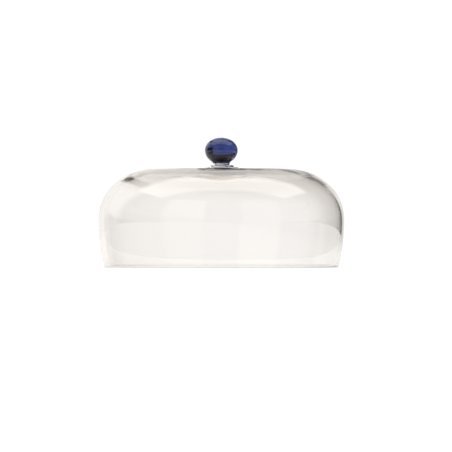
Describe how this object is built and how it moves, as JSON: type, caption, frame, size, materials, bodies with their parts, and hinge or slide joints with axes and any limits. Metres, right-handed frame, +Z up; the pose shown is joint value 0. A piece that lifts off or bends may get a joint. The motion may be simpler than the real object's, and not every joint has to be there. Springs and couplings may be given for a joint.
{
  "type": "glass bell cover",
  "caption": "Clear blown-glass bell cover with a nearly flat crown, rounded shoulders and an open rim, lifted by a cobalt-blue glass ball knob on a clear neck, foot and pad.",
  "frame": {"origin": "on the bell's axis, in the plane of the rim that it stands on", "axes": "+Z up along the bell's axis, from the rim's plane to the knob"},
  "size_m": [0.25, 0.25, 0.1315],
  "materials": {
    "clear_glass": "fire-polished clear glass with a very faint warm tint",
    "cobalt_glass": "fire-polished deep cobalt-blue glass"
  },
  "bodies": {
    "root": {"bell": "clear_glass", "crown_pad": "clear_glass", "knob_foot": "clear_glass", "knob_neck": "clear_glass", "knob_ball": "cobalt_glass"}
  },
  "joints": []
}
